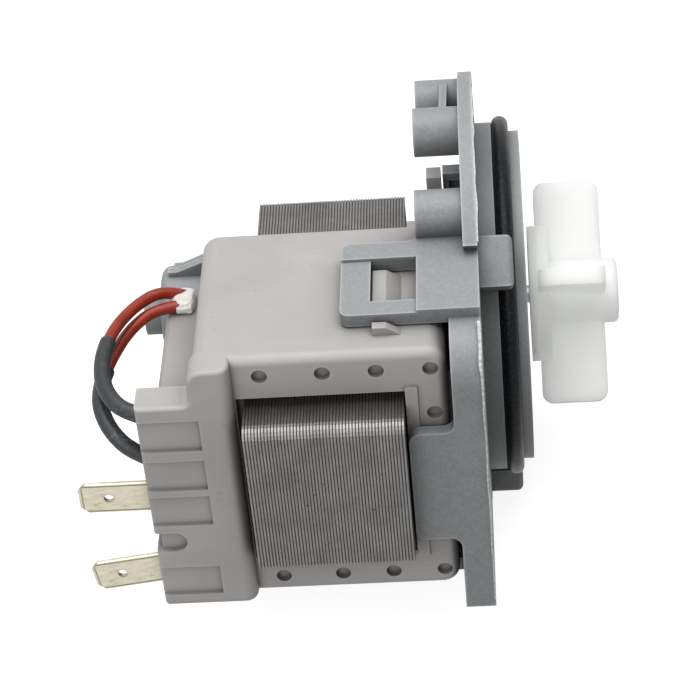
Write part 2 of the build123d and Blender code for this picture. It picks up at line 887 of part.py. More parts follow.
def impeller():
    body = rod(collar_radius, drive_split, collar_right)
    hub = rod(hub_radius, drive_split, hub_end)
    body += fillet(hub.edges().group_by(Axis.X)[-1], hub_round)
    for number in range(vane_count):
        body += Rot(vane_angle + number * 360 / vane_count, 0, 0) * vane()
    body -= rod(collar_radius - collar_wall, drive_split - overrun, collar_right - collar_floor)
    body += stop_sector()
    return body - rod(shaft_radius + running_fit, drive_split - overrun, shaft_front + shaft_hole_gap)


def drive_cover():
    """Plate that closes the collar behind the dog."""
    body = rod(collar_radius, collar_left, drive_split)
    body -= rod(collar_radius - collar_wall, collar_left + drive_floor, drive_split + overrun)
    return body - rod(shaft_radius + running_fit, collar_left - overrun, drive_split)


def below(shape):
    return mirror(shape, about=Plane.XY)


pieces = {
    "mounting_flange": mounting_flange(),
    "seal_ring": seal_ring(),
    "coil_cover": coil_cover(),
    "stator_core": stator_core(),
    "upper_bobbin": bobbin(),
    "lower_bobbin": below(bobbin()),
    "upper_winding": winding(),
    "lower_winding": below(winding()),
    "upper_terminal": placed_tab(0),
    "lower_terminal": placed_tab(1),
    "thermal_cutout": thermal_cutout(),
    "upper_lead": lead(upper_route, "upper_lead"),
    "lower_lead": lead(lower_route, "lower_lead"),
    "upper_sleeve": sleeve(upper_route, "upper_sleeve"),
    "lower_sleeve": sleeve(lower_route, "lower_sleeve"),
    "lead_seal": lead_seal(),
    "bearing_cap": bearing_cap(),
    "cap_seal": cap_seal(),
    "front_bush": bush(plug_left),
    "rear_bush": bush(rear_bush_left),
    "bush_cushion": bush_cushion(),
    "rotor_magnet": rotor_magnet(),
    "magnet_carrier": magnet_carrier(),
    "rotor_shaft": rotor_shaft(),
    "front_thrust_washer": thrust_washer(plug_left - washer_gap - washer_thickness),
    "rear_thrust_washer": thrust_washer(rear_bush_right + washer_gap),
    "drive_dog": drive_dog(),
    "impeller": impeller(),
    "drive_cover": drive_cover(),
}

os.makedirs("parts", exist_ok=True)
for name, piece in pieces.items():
    box = piece.bounding_box()
    low = [round(value, 1) for value in box.min]
    high = [round(value, 1) for value in box.max]
    print(name, len(piece.solids()), low, high)
    export_step(piece, f"parts/{name}.step")
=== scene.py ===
import math
import random

import bmesh
import bpy
from mathutils import Matrix, Vector, noise


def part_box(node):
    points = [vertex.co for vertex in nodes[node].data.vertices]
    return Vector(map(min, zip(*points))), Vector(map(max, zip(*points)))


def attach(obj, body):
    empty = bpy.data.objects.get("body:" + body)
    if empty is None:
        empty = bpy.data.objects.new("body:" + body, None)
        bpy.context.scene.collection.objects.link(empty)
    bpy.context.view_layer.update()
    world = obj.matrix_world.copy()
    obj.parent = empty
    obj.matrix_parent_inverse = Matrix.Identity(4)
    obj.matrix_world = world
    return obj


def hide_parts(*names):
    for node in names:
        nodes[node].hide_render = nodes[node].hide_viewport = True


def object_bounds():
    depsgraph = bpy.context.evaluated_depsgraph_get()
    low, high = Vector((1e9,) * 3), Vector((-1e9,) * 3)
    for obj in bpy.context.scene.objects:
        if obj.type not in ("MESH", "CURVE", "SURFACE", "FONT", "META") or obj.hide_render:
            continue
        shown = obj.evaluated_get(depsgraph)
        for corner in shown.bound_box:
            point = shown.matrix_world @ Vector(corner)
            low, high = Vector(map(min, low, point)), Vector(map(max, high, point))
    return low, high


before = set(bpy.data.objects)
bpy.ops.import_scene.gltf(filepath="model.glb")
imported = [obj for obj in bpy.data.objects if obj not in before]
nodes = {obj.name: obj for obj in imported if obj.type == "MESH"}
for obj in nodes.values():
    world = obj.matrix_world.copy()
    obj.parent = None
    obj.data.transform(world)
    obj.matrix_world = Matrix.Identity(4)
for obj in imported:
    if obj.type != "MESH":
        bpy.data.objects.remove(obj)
cad_low, cad_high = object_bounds()


# Mounting flange: one grey polypropylene moulding with the plate, posts, snap
# arms, seal spigot and rotor chamber. Filled resin gives it a fine pale mottle,
# and the eroded mould leaves a dull, slightly grainy skin.
millimetre = 0.001


def linear(hex_colour):
    """An sRGB hex colour as linear RGBA."""
    channels = [int(hex_colour[i:i + 2], 16) / 255 for i in (1, 3, 5)]
    return [c / 12.92 if c <= 0.04045 else ((c + 0.055) / 1.055) ** 2.4 for c in channels] + [1.0]


def set_inputs(node, inputs):
    """Links a node's inputs to nodes or sockets, or gives them values or hex colours."""
    for name, value in inputs.items():
        if isinstance(value, bpy.types.Node):
            value = next(output for output in value.outputs if output.enabled)
        if isinstance(value, bpy.types.NodeSocket):
            node.id_data.links.new(value, node.inputs[name])
        elif isinstance(value, str):
            node.inputs[name].default_value = linear(value)
        else:
            node.inputs[name].default_value = value


def add_node(tree, kind, inputs, stops=(), **settings):
    """Adds a shader node with its settings and inputs, and a colour ramp's stops."""
    node = tree.nodes.new(kind)
    for name, value in settings.items():
        setattr(node, name, value)
    set_inputs(node, inputs)
    if stops:
        elements = node.color_ramp.elements
        while len(elements) < len(stops):
            elements.new(0.5)
        for element, (position, colour) in zip(elements, stops):
            element.position = position
            element.color = linear(colour)
    return node


def new_finish(name, **values):
    """A material with its principled shader, and the object coordinates for its patterns."""
    material = bpy.data.materials.new(name)
    material.use_nodes = True
    tree = material.node_tree
    shader = tree.nodes["Principled BSDF"]
    set_inputs(shader, {socket.replace("_", " "): value for socket, value in values.items()})
    place = add_node(tree, "ShaderNodeTexCoord", {}).outputs["Object"]
    return material, tree, shader, place


def finish_with(material, *pieces):
    """Gives pieces their one material."""
    for piece in pieces:
        piece.data.materials.clear()
        piece.data.materials.append(material)


def tint_edges_and_shade_recesses(tree, colour, tinting, shaded_recesses):
    """Tints a colour at its convex edges and darkens it in its recesses, each as (width, tint, share)."""
    edge_width, edge_tint, edge_share = tinting
    shade_reach, shade_tint, shade_share = shaded_recesses
    sharpest, flat = 0.25, 0.85
    deepest, open_air = 0.30, 0.95
    # The edge tint lightens or darkens the colour at convex edges
    edge = add_node(tree, "ShaderNodeAmbientOcclusion", {"Distance": edge_width},
                    samples=6, inside=True, only_local=True)
    edge_tinting = add_node(tree, "ShaderNodeMapRange", {
        "Value": edge.outputs["AO"], "From Min": sharpest, "From Max": flat,
        "To Min": edge_share, "To Max": 0.0})
    # Painted shade: the recess tint darkens the colour where the surface is hemmed in, as shade would
    recess = add_node(tree, "ShaderNodeAmbientOcclusion", {"Distance": shade_reach}, samples=8)
    recess_shade = add_node(tree, "ShaderNodeMapRange", {
        "Value": recess.outputs["AO"], "From Min": deepest, "From Max": open_air,
        "To Min": shade_share, "To Max": 0.0})
    pale = add_node(tree, "ShaderNodeMix", {
        "Factor": edge_tinting, "A": colour, "B": edge_tint}, data_type="RGBA")
    return add_node(tree, "ShaderNodeMix", {
        "Factor": recess_shade, "A": pale, "B": shade_tint}, data_type="RGBA")


mottle_width, grain_width = 0.9 * millimetre, 0.22 * millimetre
filled_polypropylene, tree, shader, place = new_finish("filled_polypropylene", IOR=1.49)
mottle = add_node(tree, "ShaderNodeTexNoise", {
    "Vector": place, "Scale": 1 / mottle_width, "Detail": 5.0, "Roughness": 0.65})
grey = add_node(tree, "ShaderNodeValToRGB", {"Fac": mottle}, stops=[
    (0.3, "#757879"), (0.52, "#7C7F80"), (0.72, "#848788")])
# The filler's fibres are finer than a pixel, so they are drawn as pale flecks
grain = add_node(tree, "ShaderNodeTexNoise", {"Vector": place, "Scale": 1 / grain_width, "Detail": 2.0})
fibre = add_node(tree, "ShaderNodeValToRGB", {"Fac": grain}, stops=[(0.56, "#000000"), (0.72, "#9A9A9A")])
flecked = add_node(tree, "ShaderNodeMix", {"Factor": fibre, "A": grey, "B": "#B9BBBC"}, data_type="RGBA")
# Pale dust and a painted top light both lighten the surface where it faces up
dust_and_light_slope, dust_and_light_share = 0.62, 0.17
normal = add_node(tree, "ShaderNodeNewGeometry", {}).outputs["Normal"]
facing = add_node(tree, "ShaderNodeSeparateXYZ", {"Vector": normal})
dust_and_top_light = add_node(tree, "ShaderNodeMapRange", {
    "Value": facing.outputs["Z"], "From Min": dust_and_light_slope, "To Max": dust_and_light_share})
dusted_and_top_lit = add_node(tree, "ShaderNodeMix", {"Factor": dust_and_top_light, "A": flecked, "B": "#BFC2C4"}, data_type="RGBA")
# Edges paled partly by wear and partly by a painted edge highlight, and painted shade darkening the recesses
edged_and_shaded = tint_edges_and_shade_recesses(tree, dusted_and_top_lit, (0.6 * millimetre, "#CDD0D1", 0.65), (9 * millimetre, "#303234", 0.68))
dull = add_node(tree, "ShaderNodeMapRange", {"Value": mottle, "To Min": 0.42, "To Max": 0.58})
skin = add_node(tree, "ShaderNodeBump", {"Height": grain, "Strength": 0.22, "Distance": 0.05 * millimetre})
set_inputs(shader, {"Base Color": edged_and_shaded, "Roughness": dull, "Normal": skin})
finish_with(filled_polypropylene, nodes["mounting_flange"])


# Mould flash: a torn skin of the flange's plastic along the edge of its front
# frame and along the plate's rim, whitened where the excess was pulled away. It
# is ragged at the frame's corner and a fine line below.
corner_y, corner_z, corner_radius = -42.5 * millimetre, 19.1 * millimetre, 7.5 * millimetre
corner_start, corner_sweep = 1.03 * math.pi / 2, 0.97 * math.pi / 2
flash_end = -27.0 * millimetre
rim_radius = 40.15 * millimetre
rim_start, rim_sweep = math.radians(130), math.radians(62)
corner_steps, side_steps, rim_steps = 46, 184, 120
slow_waves, quick_waves = 14, 95
least_fullness = 0.2
least_width = 0.05
fin_overlap = 0.15 * millimetre
backward, forward = Vector((-1, 0, 0)), Vector((1, 0, 0))
skin_strip = bmesh.new()


def ragged_fin(stations, fullness, fading, raggedness, seed):
    """Draws a thin section through (foot, outward, inward) stations, wide and narrow by turns."""
    end_face = None
    for number, (foot, outward, inward) in enumerate(stations):
        share = number / (len(stations) - 1)
        full = fullness * max(least_fullness, 1 - fading * share)
        slow = noise.noise(Vector((slow_waves * share, seed, 0.4)))
        quick = noise.noise(Vector((quick_waves * share, seed + 5.6, 1.9)))
        # The fin is an even strip with slow and quick waves, and is wider at its start
        swell = full * (0.45 + 0.75 * slow + raggedness * quick + 0.35 * (1 - share))
        width = max(least_width, swell) * millimetre
        curl = full * (0.15 + 0.9 * max(0.0, slow)) * millimetre
        near = -0.13 * full * millimetre * inward
        far = (0.15 + 0.25 * full) * millimetre * inward
        root = foot - fin_overlap * outward
        tip = foot + width * outward + curl * inward
        section = (root + far, root + near, tip + near, tip + far)
        if end_face is None:
            end_face = skin_strip.faces.new([skin_strip.verts.new(spot) for spot in section])
            continue
        grown = bmesh.ops.extrude_face_region(skin_strip, geom=[end_face])
        if number > 1:
            bmesh.ops.delete(skin_strip, geom=[end_face], context="FACES_ONLY")
        end_face = next(part for part in grown["geom"] if isinstance(part, bmesh.types.BMFace))
        for corner, spot in zip(end_face.verts, section):
            corner.co = spot


def object_from(shape, name):
    """A linked object whose mesh is the finished bmesh."""
    mesh = bpy.data.meshes.new(name)
    shape.to_mesh(mesh)
    shape.free()
    piece = bpy.data.objects.new(name, mesh)
    bpy.context.scene.collection.objects.link(piece)
    return piece


frame_edge = []
for step in range(corner_steps + 1):
    turn = corner_start + corner_sweep * step / corner_steps
    outward = Vector((0, math.cos(turn), math.sin(turn)))
    frame_edge.append((Vector((0, corner_y, corner_z)) + corner_radius * outward, outward, backward))
for step in range(1, side_steps + 1):
    drop = corner_z + step / side_steps * (flash_end - corner_z)
    frame_edge.append((Vector((0, corner_y - corner_radius, drop)), Vector((0, -1, 0)), backward))
ragged_fin(frame_edge, fullness=1.0, fading=2.4, raggedness=0.5, seed=2.1)
rim_edge = []
for step in range(rim_steps + 1):
    turn = rim_start - rim_sweep * step / rim_steps
    radial = Vector((0, math.cos(turn), math.sin(turn)))
    rim_edge.append((rim_radius * radial, forward, -radial))
ragged_fin(rim_edge, fullness=0.3, fading=0.0, raggedness=0.15, seed=8.3)
bmesh.ops.recalc_face_normals(skin_strip, faces=skin_strip.faces[:])
mould_flash = object_from(skin_strip, "mould_flash")
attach(mould_flash, "housing")

# Overstretched polypropylene turns whitish and matt
tear_width = 0.7 * millimetre
whitened_edge, tree, shader, place = new_finish("whitened_edge", Roughness=0.6, IOR=1.49)
torn = add_node(tree, "ShaderNodeTexNoise", {"Vector": place, "Scale": 1 / tear_width, "Detail": 4.0})
pale = add_node(tree, "ShaderNodeValToRGB", {"Fac": torn}, stops=[(0.35, "#B2B5B5"), (0.65, "#D0D2D1")])
set_inputs(shader, {"Base Color": pale})
finish_with(whitened_edge, mould_flash)


# Laminated core: a U of punched silicon-steel sheets, stacked along the rotor's
# axis. Each sheet's cut edge is bright, and a dark sheet inside paints the gaps' shade.
# The sheets lie a few hundredths of a millimetre out of line.
sheet_count = 50
core_left, core_right = -39.2 * millimetre, -12.9 * millimetre
core_front, core_back = -53.75 * millimetre, 10.65 * millimetre
core_top, leg_inner = 15.2 * millimetre, 8.0 * millimetre
yoke_depth, pole_radius = 10.0 * millimetre, 13.1 * millimetre
yoke_corner, arc_steps = 2.2 * millimetre, 14
sheet_pitch = (core_right - core_left) / sheet_count
sheet_thickness = 0.60 * sheet_pitch
most_slip_back, most_slip_up = 0.07 * millimetre, 0.04 * millimetre
film_margin, film_inset = 0.1 * millimetre, 0.14 * millimetre
touching = 1e-6


def punched_sheet(sheets, left, thickness, inset=0.0):
    """Adds one U-shaped sheet with its pole arcs, drawn as its upper half and mirrored."""
    inner, arc_radius = leg_inner + inset, pole_radius + inset
    back, front, top = core_back - inset, core_front + inset, core_top - inset
    half = bmesh.new()
    arc_start = half.verts.new((left, -math.sqrt(arc_radius ** 2 - inner ** 2), inner))
    turn = math.pi - 2 * math.asin(inner / arc_radius)
    spun = bmesh.ops.spin(
        half, geom=[arc_start], cent=(left, 0, 0), axis=(-1, 0, 0), angle=turn, steps=arc_steps)
    arc_end = spun["geom_last"][0]
    leg = [(back, inner), (back, top), (front, top), (front, 0)]
    throat = core_front + yoke_depth - inset
    for start, points in ((arc_end, leg), (arc_start, [(throat, inner), (throat, 0)])):
        last = start
        for y, z in points:
            corner = half.verts.new((left, y, z))
            half.edges.new((last, corner))
            last = corner
    outline = half.verts[:] + half.edges[:]
    bmesh.ops.mirror(half, geom=outline, matrix=Matrix.Identity(4), merge_dist=touching, axis="Z")
    bmesh.ops.contextual_create(half, geom=half.edges[:])
    yoke_corners = [v for v in half.verts if v.co.y < front + touching and abs(v.co.z) > inner]
    bmesh.ops.bevel(
        half, geom=yoke_corners, offset=yoke_corner, affect="VERTICES", segments=5, profile=0.5, material=-1)
    extruded = bmesh.ops.extrude_face_region(half, geom=half.faces[:])
    moved = [v for v in extruded["geom"] if isinstance(v, bmesh.types.BMVert)]
    bmesh.ops.translate(half, vec=(thickness, 0, 0), verts=moved)
    bmesh.ops.recalc_face_normals(half, faces=half.faces[:])
    mesh = bpy.data.meshes.new("sheet")
    half.to_mesh(mesh)
    half.free()
    sheets.from_mesh(mesh)
    bpy.data.meshes.remove(mesh)


random.seed(7)
stack = bmesh.new()
for number in range(sheet_count):
    before = len(stack.verts)
    sheet_left = core_left + number * sheet_pitch + 0.5 * (sheet_pitch - sheet_thickness)
    punched_sheet(stack, sheet_left, sheet_thickness)
    stack.verts.ensure_lookup_table()
    slip = (0, random.uniform(0, most_slip_back), random.uniform(-most_slip_up, most_slip_up))
    bmesh.ops.translate(stack, vec=slip, verts=stack.verts[before:])
laminations = object_from(stack, "laminations")
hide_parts("stator_core")
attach(laminations, "housing")
# A brown-black sheet inside the stack is painted shade for the gaps between the sheets
fill = bmesh.new()
punched_sheet(fill, core_left + film_margin, core_right - core_left - 2 * film_margin, film_inset)
gap_shade_sheet = object_from(fill, "gap_shade_sheet")
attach(gap_shade_sheet, "housing")

# Sheared steel is grey and half dull, with a few rust specks
stain_width, rust_width = 6 * millimetre, 1.6 * millimetre
silicon_steel, tree, shader, place = new_finish("silicon_steel", Metallic=0.85, Roughness=0.42)
stain = add_node(tree, "ShaderNodeTexNoise", {
    "Vector": place, "Scale": 1 / stain_width, "Detail": 6.0, "Roughness": 0.7})
steel = add_node(tree, "ShaderNodeValToRGB", {"Fac": stain}, stops=[
    (0.3, "#6F6E6C"), (0.6, "#858482"), (0.8, "#999895")])
rust = add_node(tree, "ShaderNodeTexNoise", {"Vector": place, "Scale": 1 / rust_width, "Detail": 4.0})
specks = add_node(tree, "ShaderNodeValToRGB", {"Fac": rust}, stops=[(0.70, "#000000"), (0.76, "#FFFFFF")])
rusted = add_node(tree, "ShaderNodeMix", {"Factor": specks, "A": steel, "B": "#5A2F1C"}, data_type="RGBA")
set_inputs(shader, {"Base Color": rusted})
finish_with(silicon_steel, laminations)

# A brown-black sheet with a soft gloss inside the stack is painted shade for the gaps between the sheets
film_width = 0.8 * millimetre
painted_gap_shade, tree, shader, place = new_finish("painted_gap_shade", Roughness=0.55, IOR=1.5)
film = add_node(tree, "ShaderNodeTexNoise", {"Vector": place, "Scale": 1 / film_width, "Detail": 4.0})
brown = add_node(tree, "ShaderNodeValToRGB", {"Fac": film}, stops=[(0.35, "#1D1B19"), (0.7, "#3A3734")])
set_inputs(shader, {"Base Color": brown})
finish_with(painted_gap_shade, gap_shade_sheet)


# Coil formers and wire: natural nylon formers, slid on the core's legs and wound
# with enamelled copper. The cover is moulded over them, so only an opened model
# shows them. The rotor's carrier and drive dog are the same nylon.

# Moulded nylon is milky and slightly warm, with a soft gloss
haze_width = 5 * millimetre
natural_nylon, tree, shader, place = new_finish("natural_nylon", Roughness=0.45, IOR=1.53)
haze = add_node(tree, "ShaderNodeTexNoise", {"Vector": place, "Scale": 1 / haze_width, "Detail": 3.0})
milky = add_node(tree, "ShaderNodeValToRGB", {"Fac": haze}, stops=[(0.3, "#D9D3C2"), (0.7, "#E6E1D2")])
set_inputs(shader, {"Base Color": milky})
finish_with(natural_nylon, nodes["upper_bobbin"], nodes["lower_bobbin"])
finish_with(natural_nylon, nodes["magnet_carrier"], nodes["drive_dog"])

# Painted shade darkens the copper in the creases between its shiny turns
wire_pitch, wire_relief = 0.45 * millimetre, 0.1 * millimetre
wave_length_at_one = math.pi / 10
enamelled_copper, tree, shader, place = new_finish("enamelled_copper", Metallic=0.9, Roughness=0.3)
turns = add_node(tree, "ShaderNodeTexWave", {
    "Vector": place, "Scale": wave_length_at_one / wire_pitch}, bands_direction="Y").outputs["Fac"]
copper_and_crease_shade = add_node(tree, "ShaderNodeValToRGB", {"Fac": turns}, stops=[(0.0, "#5A2A12"), (0.6, "#B4622F")])
round_wire = add_node(tree, "ShaderNodeBump", {"Height": turns, "Strength": 0.6, "Distance": wire_relief})
set_inputs(shader, {"Base Color": copper_and_crease_shade, "Normal": round_wire})
finish_with(enamelled_copper, nodes["upper_winding"], nodes["lower_winding"])


# Coil cover: a warm light grey polyester moulding shot round both coils. Its
# skin is smooth and dull, with faint flow clouds, a few dark specks, pale scuffs,
# edges paled by wear and a painted highlight, and painted shade round the core.
flow_width, speck_width, pore_width = 14 * millimetre, 1.1 * millimetre, 0.3 * millimetre
scuff_length, scuff_width, scuff_turn = 6.25 * millimetre, millimetre / 1.5, 0.35
moulded_polyester, tree, shader, place = new_finish("moulded_polyester", IOR=1.5)
flow = add_node(tree, "ShaderNodeTexNoise", {
    "Vector": place, "Scale": 1 / flow_width, "Detail": 3.0, "Distortion": 0.6})
cloud = add_node(tree, "ShaderNodeValToRGB", {"Fac": flow}, stops=[(0.3, "#A29F9D"), (0.7, "#ABA9A6")])
speck = add_node(tree, "ShaderNodeTexNoise", {"Vector": place, "Scale": 1 / speck_width, "Detail": 2.0})
dotted = add_node(tree, "ShaderNodeValToRGB", {"Fac": speck}, stops=[(0.735, "#000000"), (0.755, "#9A9A9A")])
spotted = add_node(tree, "ShaderNodeMix", {"Factor": dotted, "A": cloud, "B": "#6B6662"}, data_type="RGBA")
brushed = add_node(tree, "ShaderNodeMapping", {
    "Vector": place, "Rotation": (0, 0, scuff_turn),
    "Scale": (1 / scuff_length, 1 / scuff_width, 1 / scuff_width)})
scuff = add_node(tree, "ShaderNodeTexNoise", {"Vector": brushed, "Scale": 1.0, "Detail": 3.0})
tinting = add_node(tree, "ShaderNodeValToRGB", {"Fac": scuff}, stops=[(0.70, "#000000"), (0.74, "#8C8C8C")])
scuffed = add_node(tree, "ShaderNodeMix", {"Factor": tinting, "A": spotted, "B": "#C6C5C3"}, data_type="RGBA")
# Edges paled partly by wear and partly by a painted edge highlight, and painted shade round the core and in
# its recesses
edged_and_shaded = tint_edges_and_shade_recesses(tree, scuffed, (0.8 * millimetre, "#CFC6BF", 0.30), (10 * millimetre, "#3A3734", 0.74))
sheen = add_node(tree, "ShaderNodeMapRange", {"Value": flow, "To Min": 0.40, "To Max": 0.52})
pores = add_node(tree, "ShaderNodeTexNoise", {"Vector": place, "Scale": 1 / pore_width, "Detail": 2.0})
skin = add_node(tree, "ShaderNodeBump", {"Height": pores, "Strength": 0.10, "Distance": 0.04 * millimetre})
set_inputs(shader, {"Base Color": edged_and_shaded, "Roughness": sheen, "Normal": skin})
finish_with(moulded_polyester, nodes["coil_cover"])


# Spade terminals: 6.3 mm tabs stamped from tinned brass and pressed into the
# block. The tin is pale yellow with long draw marks, and a dark line runs along
# a coined margin inside each tab's edges. The lower tab leans.
tab_root, tab_level = -56.4 * millimetre, -47.0 * millimetre
tab_middles = {"upper_terminal": -2.5 * millimetre, "lower_terminal": -18.6 * millimetre}
tab_leans = {"upper_terminal": 0.0, "lower_terminal": math.radians(-8)}
margin_side, margin_tip = 2.65 * millimetre, -11.5 * millimetre
margin_core, margin_edge = 0.04 * millimetre, 0.2 * millimetre
side_strength, tip_strength = 1.5, 1.2
mark_length, mark_depth, mark_width = 2 * millimetre, millimetre / 0.9, millimetre / 1.5
for terminal in ("upper_terminal", "lower_terminal"):
    tinned_brass, tree, shader, place = new_finish("tinned_brass_" + terminal, Metallic=1.0)
    on_tab = add_node(tree, "ShaderNodeMapping", {
        "Vector": place, "Location": (tab_root, tab_level, tab_middles[terminal]),
        "Rotation": (0, tab_leans[terminal], 0)}, vector_type="TEXTURE")
    lengthwise = add_node(tree, "ShaderNodeMapping", {
        "Vector": on_tab, "Scale": (1 / mark_length, 1 / mark_depth, 1 / mark_width)})
    marks = add_node(tree, "ShaderNodeTexNoise", {
        "Vector": lengthwise, "Scale": 1.0, "Detail": 6.0, "Roughness": 0.7})
    tin = add_node(tree, "ShaderNodeValToRGB", {"Fac": marks}, stops=[
        (0.30, "#8F876D"), (0.38, "#C4BDA9"), (0.55, "#D3CCBA"), (0.75, "#DDD8C9")])
    # The tabs are darker at their edges, and painted shade darkens them in their recesses
    tin_edged_and_shaded = tint_edges_and_shade_recesses(tree, tin, (0.35 * millimetre, "#5E5945", 0.8), (3 * millimetre, "#6E674F", 0.5))
    spot = add_node(tree, "ShaderNodeSeparateXYZ", {"Vector": on_tab})
    aside = add_node(tree, "ShaderNodeMath", {0: spot.outputs["Z"]}, operation="ABSOLUTE")
    # A dark line is drawn along a coined margin inside each tab's edges
    for distance, line, strength in (
            (aside, margin_side, side_strength), (spot.outputs["X"], margin_tip, tip_strength)):
        beside = add_node(tree, "ShaderNodeMath", {0: distance, 1: line}, operation="SUBTRACT")
        away = add_node(tree, "ShaderNodeMath", {0: beside}, operation="ABSOLUTE")
        pressed = add_node(tree, "ShaderNodeMapRange", {
            "Value": away, "From Min": margin_core, "From Max": margin_edge,
            "To Min": strength, "To Max": 0.0})
        patchy = add_node(tree, "ShaderNodeMath", {0: pressed, 1: marks}, operation="MULTIPLY")
        tin_edged_and_shaded = add_node(
            tree, "ShaderNodeMix", {"Factor": patchy, "A": tin_edged_and_shaded, "B": "#4A4534"}, data_type="RGBA")
    smears = add_node(tree, "ShaderNodeMapRange", {"Value": marks, "To Min": 0.35, "To Max": 0.6})
    drawn = add_node(tree, "ShaderNodeBump", {
        "Height": marks, "Strength": 0.25, "Distance": 0.03 * millimetre})
    set_inputs(shader, {"Base Color": tin_edged_and_shaded, "Roughness": smears, "Normal": drawn})
    finish_with(tinned_brass, nodes[terminal])


# Leads: two red silicone-insulated wires in black sleeves, from the sealed box at
# the back of the cover to the terminal block. They are limp, and bend in one
# loop each. The routes' points are in millimetres.
lead_routes = {
    "upper_lead": [
        (-50.9, -14.2, 14.1), (-54.6, -14.6, 15.9), (-59.0, -18.4, 15.8),
        (-62.1, -25.2, 16.2), (-63.3, -31.6, 16.1), (-63.3, -36.9, 15.6),
        (-61.9, -42.0, 15.3), (-58.6, -46.0, 14.6), (-53.6, -47.2, 14.0),
    ],
    "lower_lead": [
        (-50.9, -16.9, 14.1), (-55.6, -17.8, 14.4), (-60.0, -21.2, 13.0),
        (-62.6, -27.6, 12.2), (-63.9, -34.6, 12.1), (-63.7, -40.9, 12.2),
        (-61.6, -45.6, 10.3), (-57.9, -47.6, 7.2), (-53.6, -47.4, 5.0),
    ],
}
lead_radius, sleeve_radius = 1.05 * millimetre, 1.4 * millimetre
sleeve_starts = {"upper": -27.9 * millimetre, "lower": -30.6 * millimetre}


def round_line(name, kind, spots, radius, roundness):
    """An open line through spots, with a round section and closed ends."""
    curve = bpy.data.curves.new(name, "CURVE")
    curve.dimensions = "3D"
    curve.resolution_u = 16
    curve.bevel_depth = 1.0
    curve.bevel_resolution = roundness
    curve.use_fill_caps = True
    spline = curve.splines.new(kind)
    spline.points.add(len(spots) - 1)
    for point, spot in zip(spline.points, spots):
        point.co = (*spot, 1)
        point.radius = radius
    line = bpy.data.objects.new(name, curve)
    bpy.context.scene.collection.objects.link(line)
    return line, spline


def sleeve_along(name, lead, front):
    """A sleeve over the part of the lead's line that lies in front of a place."""
    lead.data.bevel_depth = 0
    bpy.context.view_layer.update()
    bare_line = bpy.data.meshes.new_from_object(lead)
    lead.data.bevel_depth = 1.0
    places = [v.co.copy() for v in bare_line.vertices]
    bpy.data.meshes.remove(bare_line)
    # Every fourth of the lead's fine points keeps the sleeve just as smooth
    covered = [place for place in places[::4] if place.y < front]
    sleeve, spline = round_line(name, "POLY", covered, sleeve_radius, 7)
    spline.use_smooth = True
    return sleeve


# Silicone insulation is a dense brick red with a soft gloss
patch_width = 2.5 * millimetre
red_silicone, tree, shader, place = new_finish("red_silicone", Roughness=0.38, IOR=1.45)
patches = add_node(tree, "ShaderNodeTexNoise", {"Vector": place, "Scale": 1 / patch_width, "Detail": 3.0})
red = add_node(tree, "ShaderNodeValToRGB", {"Fac": patches}, stops=[(0.3, "#7C1F0A"), (0.7, "#932A13")])
set_inputs(shader, {"Base Color": red})

# Soft sleeving is blue black and creased, and is scuffed where it enters the block
dust_width = 0.8 * millimetre
scuffs_full, scuffs_gone = -47 * millimetre, -42 * millimetre
black_sleeving, tree, shader, place = new_finish("black_sleeving", Roughness=0.5, IOR=1.5)
dust = add_node(tree, "ShaderNodeTexNoise", {
    "Vector": place, "Scale": 1 / dust_width, "Detail": 5.0, "Roughness": 0.7})
spot = add_node(tree, "ShaderNodeSeparateXYZ", {"Vector": place})
scuffed = add_node(tree, "ShaderNodeMapRange", {
    "Value": spot.outputs["Y"], "From Min": scuffs_full, "From Max": scuffs_gone,
    "To Min": 0.10, "To Max": 0.0})
worn = add_node(tree, "ShaderNodeMath", {0: dust, 1: scuffed}, operation="ADD")
dark = add_node(tree, "ShaderNodeValToRGB", {"Fac": worn}, stops=[
    (0.4, "#1B1D20"), (0.64, "#2A2D31"), (0.73, "#54575A"), (0.80, "#8D897F")])
creases = add_node(tree, "ShaderNodeBump", {"Height": dust, "Strength": 0.3, "Distance": 0.08 * millimetre})
set_inputs(shader, {"Base Color": dark, "Normal": creases})

for side in ("upper", "lower"):
    name = side + "_lead"
    route = [[value * millimetre for value in point] for point in lead_routes[name]]
    lead, spline = round_line(name + "_wire", "NURBS", route, lead_radius, 6)
    spline.order_u = 3
    spline.use_endpoint_u = True
    sleeve = sleeve_along(side + "_sleeving", lead, sleeve_starts[side])
    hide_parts(name)
    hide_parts(side + "_sleeve")
    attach(lead, "housing")
    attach(sleeve, "housing")
    finish_with(red_silicone, lead)
    finish_with(black_sleeving, sleeve)


# Sealant: a white silicone dab pressed over the place where the leads leave the
# box. It cures lumpy and blunt, with a soft gloss.
seal_low, seal_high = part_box("lead_seal")
dab_shares = (0.86, 0.90, 0.98)
dab_forward, dab_lift = 0.7, 0.75
lump_waves, lump_height, bluntness = 1.4, 0.12, 0.6
reach = Vector([share * side / 2 for share, side in zip(dab_shares, seal_high - seal_low)])
middle = (seal_low + seal_high) / 2
middle.x = seal_low.x + dab_forward * reach.x
middle.z = seal_low.z + dab_lift * reach.z
lump = bmesh.new()
bmesh.ops.create_icosphere(lump, subdivisions=5, radius=1.0)
for point in lump.verts:
    swell = 1.0 + lump_height * noise.fractal(point.co * lump_waves, 1.0, 2.0, 2)
    blunt = Vector([math.copysign(abs(c) ** bluntness, c) for c in point.co]) * swell
    point.co = middle + Vector([share * side for share, side in zip(blunt, reach)])
    point.co.z = max(point.co.z, seal_low.z)
sealant_dab = object_from(lump, "sealant_dab")
sealant_dab.data.shade_smooth()
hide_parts("lead_seal")
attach(sealant_dab, "housing")
lump_width = 0.9 * millimetre
